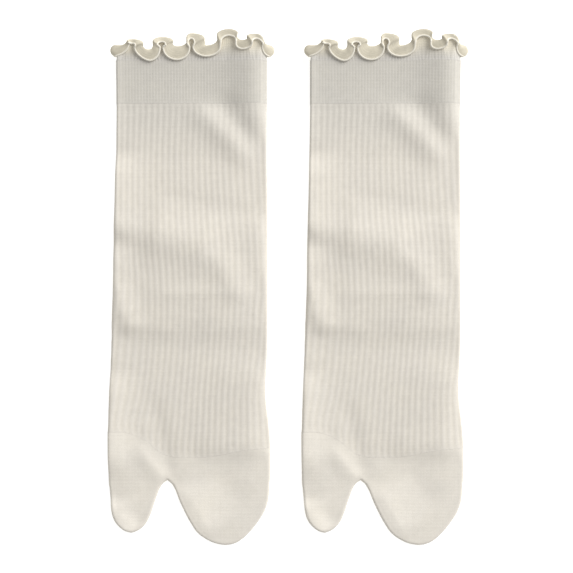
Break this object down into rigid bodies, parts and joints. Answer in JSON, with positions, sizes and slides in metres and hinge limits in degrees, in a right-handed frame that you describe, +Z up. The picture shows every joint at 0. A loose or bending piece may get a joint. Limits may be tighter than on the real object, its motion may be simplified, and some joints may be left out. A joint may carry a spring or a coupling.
{
  "type": "pair of tabi socks",
  "caption": "Flat-laid knitted crew socks with split toes, ribbed legs, fine-ribbed cuffs and frilled lettuce-edge mouths, side by side.",
  "frame": {"origin": "middle of the pair's outline, on the surface that the socks rest on", "axes": "+X runs across both socks to the right, +Y along them from the toes to the cuffs, +Z up from the surface to the front of the socks"},
  "size_m": [0.2134, 0.3087, 0.0121],
  "materials": {
    "frill_knit": "cream cotton knit with a thick overlocked edge, matt",
    "fine_rib_knit": "pale greyish cream 1x1 rib knit, matt",
    "wide_rib_knit": "cream 2x1 rib knit, soft and matt",
    "plain_knit": "cream plain jersey knit, soft and matt"
  },
  "bodies": {
    "root": {"left_frill": "frill_knit", "left_cuff": "fine_rib_knit", "left_leg": "wide_rib_knit", "left_heel": "plain_knit", "left_toe": "plain_knit", "right_frill": "frill_knit", "right_cuff": "fine_rib_knit", "right_leg": "wide_rib_knit", "right_heel": "plain_knit", "right_toe": "plain_knit"}
  },
  "joints": []
}
